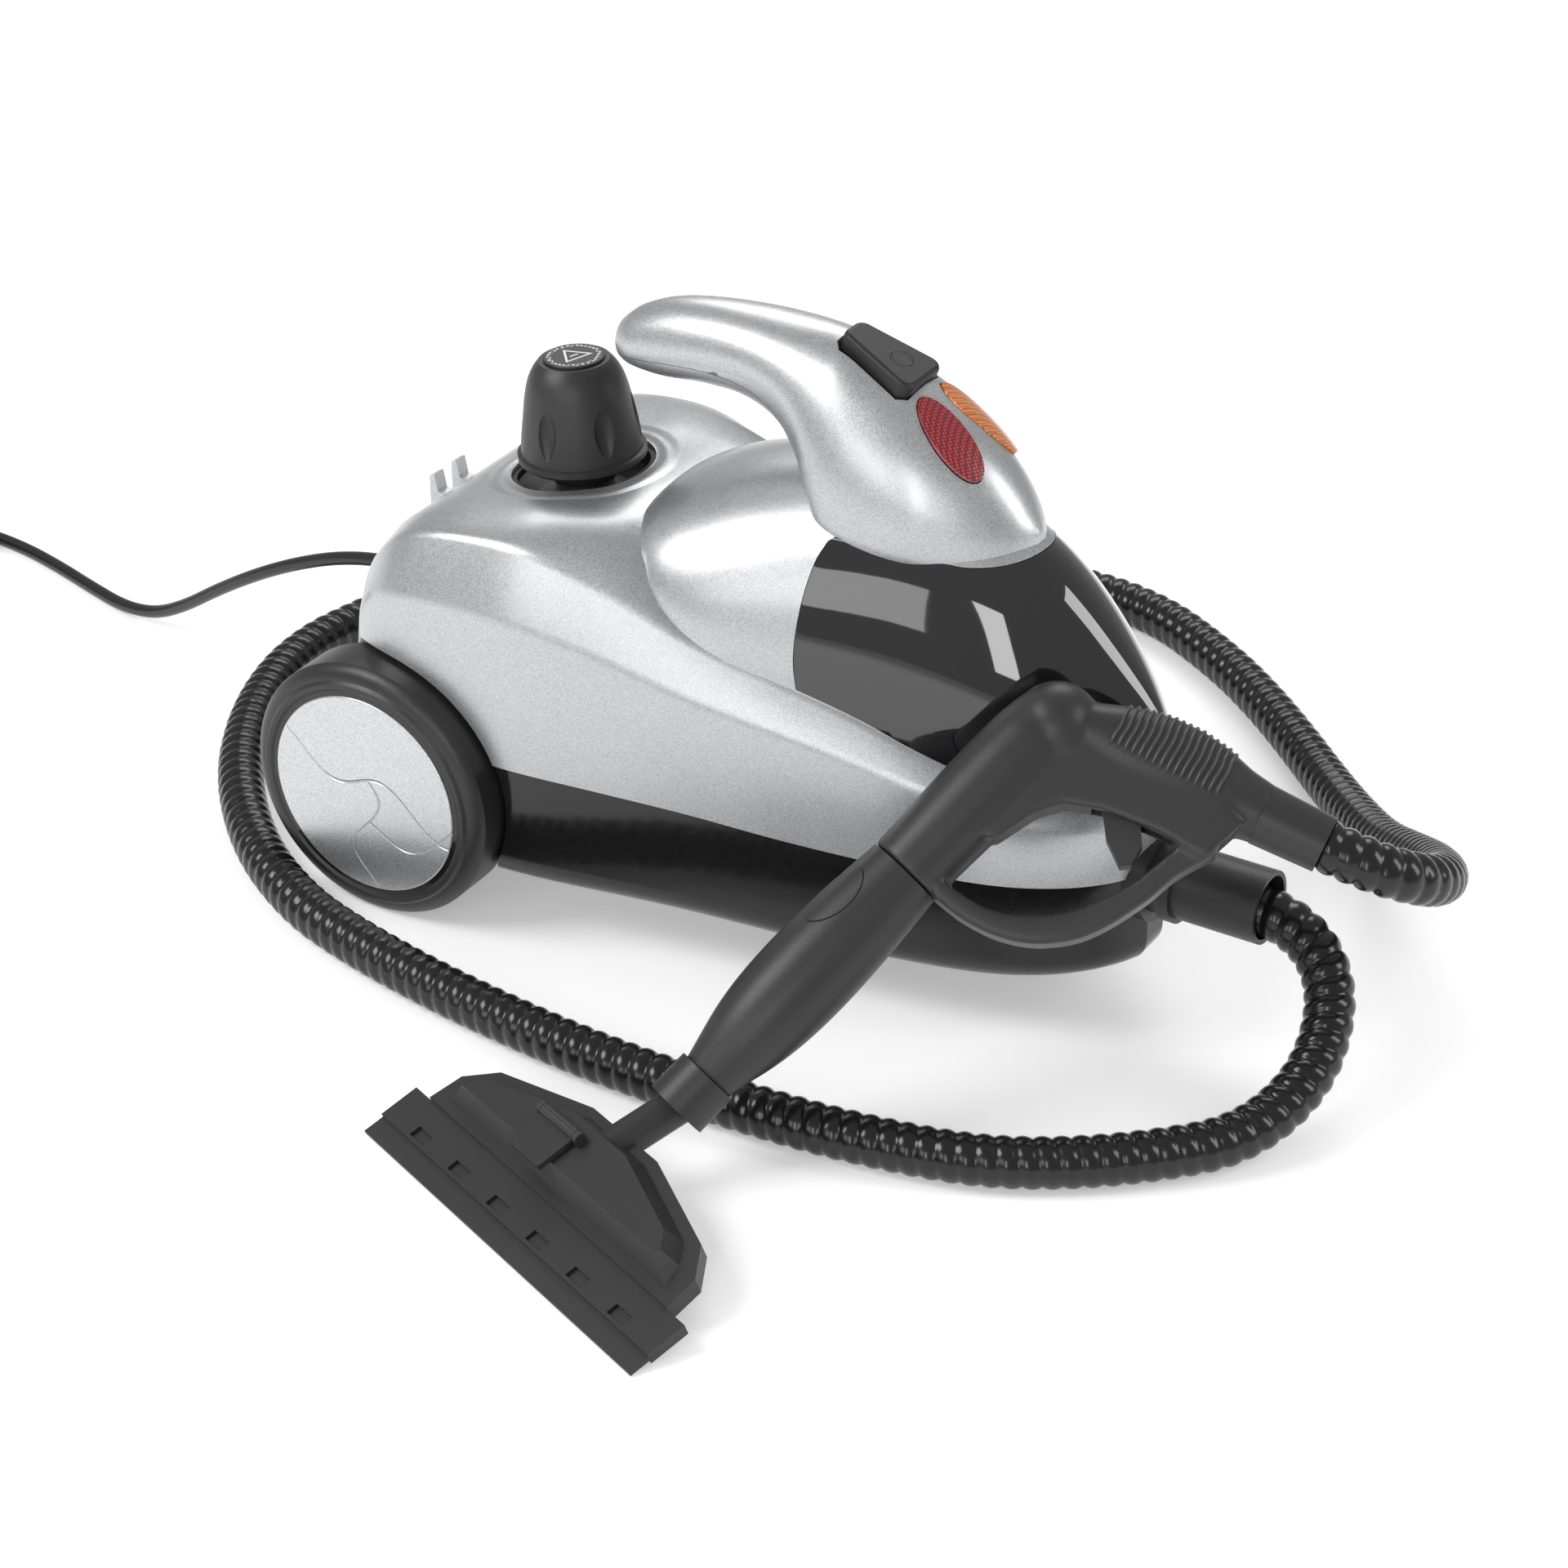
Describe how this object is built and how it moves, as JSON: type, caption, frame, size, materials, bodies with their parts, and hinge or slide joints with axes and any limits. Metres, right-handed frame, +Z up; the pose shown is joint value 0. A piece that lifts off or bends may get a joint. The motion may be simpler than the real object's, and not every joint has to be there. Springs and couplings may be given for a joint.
{
  "type": "canister steam cleaner",
  "caption": "Wheeled canister steam cleaner with a carry handle and filler cap, and a steam gun with a window squeegee on a ribbed hose.",
  "frame": {"origin": "on the floor under the middle of the rear axle", "axes": "+X to the nose, -Y to the side with the steam gun, +Z up"},
  "size_m": [1.0627, 0.736, 0.3272],
  "materials": {
    "silver_shell": "fine metallic silver lacquer",
    "black_gloss": "high gloss black",
    "smoked_visor": "smoked high gloss",
    "black_satin": "satin charcoal",
    "tyre": "satin rubber",
    "soft_rubber": "matt rubber",
    "red_lens": "moulded lens",
    "amber_lens": "moulded lens",
    "steel": "bright",
    "brass": "plain",
    "hub_silver": "silver lacquer"
  },
  "bodies": {
    "cleaner": {"amber_lamp_lens": "amber_lens", "axle_clips": "steel", "base_pan": "black_gloss", "blade_holder": "black_satin", "blade_rubber": "soft_rubber", "boiler_lower_half": "steel", "boiler_pipe": "steel", "boiler_upper_half": "steel", "cord_gland": "soft_rubber", "cord_hooks": "silver_shell", "extension_tube": "black_satin", "filler_recess_cup": "silver_shell", "flange_screws": "steel", "front_visor": "smoked_visor", "gun_cuff": "black_satin", "gun_microswitch": "black_satin", "gun_shell_far": "black_satin", "gun_shell_near": "black_satin", "gun_steam_tube": "steel", "handle_lower_shell": "silver_shell", "handle_upper_shell": "silver_shell", "heating_element": "steel", "hose_plug": "black_satin", "hose_socket": "black_satin", "mains_coil": "soft_rubber", "mains_cord": "soft_rubber", "mains_plug": "soft_rubber", "power_switch": "black_satin", "pressure_switch": "brass", "rear_axle": "steel", "red_lamp_lens": "red_lens", "shell_screws": "steel", "squeegee_head": "black_satin", "steam_hose": "soft_rubber", "steam_pipe": "steel", "steam_valve": "brass", "terminal_block": "black_satin", "thermostat": "brass", "trigger_pin": "steel", "upper_shell": "silver_shell"},
    "wheel_left": {"wheel_hub_left": "black_gloss", "tyre_left": "tyre", "hub_cap_left": "hub_silver"},
    "wheel_right": {"wheel_hub_right": "black_gloss", "tyre_right": "tyre", "hub_cap_right": "hub_silver"},
    "caster": {"caster_fork": "black_satin", "caster_pin": "steel"},
    "caster_roller": {"caster_wheel": "soft_rubber"},
    "cap_ring": {"cap_seal": "soft_rubber"},
    "cap": {"filler_cap_knob": "black_satin", "cap_top_disc": "black_satin", "cap_plug": "black_satin"},
    "button": {"power_button": "soft_rubber"},
    "trigger": {"gun_trigger": "black_satin"},
    "release": {"release_button": "black_satin"},
    "latch": {"squeegee_latch": "black_satin"}
  },
  "joints": [
    {"name": "wheel_left_spin", "type": "hinge", "parent": "cleaner", "child": "wheel_left", "pos_m": [0, 0, 0.07], "axis": [0, 1, 0], "continuous": true},
    {"name": "wheel_right_spin", "type": "hinge", "parent": "cleaner", "child": "wheel_right", "pos_m": [0, 0, 0.07], "axis": [0, 1, 0], "continuous": true},
    {"name": "caster_swivel", "type": "hinge", "parent": "cleaner", "child": "caster", "pos_m": [0.285, 0, 0.04], "axis": [0, 0, 1], "continuous": true},
    {"name": "caster_roll", "type": "hinge", "parent": "caster", "child": "caster_roller", "pos_m": [0.273, 0, 0.017], "axis": [0, 1, 0], "continuous": true},
    {"name": "cap_lift", "type": "slide", "parent": "cleaner", "child": "cap_ring", "axis": [-0.0698, 0, 0.9976], "range_m": [0, 0.01]},
    {"name": "cap_turn", "type": "hinge", "parent": "cap_ring", "child": "cap", "pos_m": [0.052, 0, 0.211], "axis": [-0.0698, 0, 0.9976], "range_deg": [0, 900.5]},
    {"name": "power_press", "type": "slide", "parent": "cleaner", "child": "button", "axis": [-0.3757, 0, -0.9267], "range_m": [0, 0.002], "stiffness_N_per_m": 900},
    {"name": "trigger_pull", "type": "hinge", "parent": "cleaner", "child": "trigger", "pos_m": [0.3897, -0.06231, 0.1617], "axis": [0.3393, -0.7019, 0.6263], "range_deg": [0, 10], "stiffness_Nm_per_rad": 1.2, "springref_deg": -5.73},
    {"name": "release_press", "type": "slide", "parent": "cleaner", "child": "release", "axis": [0.3504, 0.4809, -0.8037], "range_m": [0, 0.002], "stiffness_N_per_m": 900},
    {"name": "latch_flip", "type": "hinge", "parent": "cleaner", "child": "latch", "pos_m": [0.21965, -0.27631, 0.04039], "axis": [-0.9239, 0.3827, 0], "range_deg": [0, 35]}
  ],
  "couplings": [
    {"joint": "cap_turn", "follows": "cap_lift", "rad_per_m": 1570.8}
  ]
}
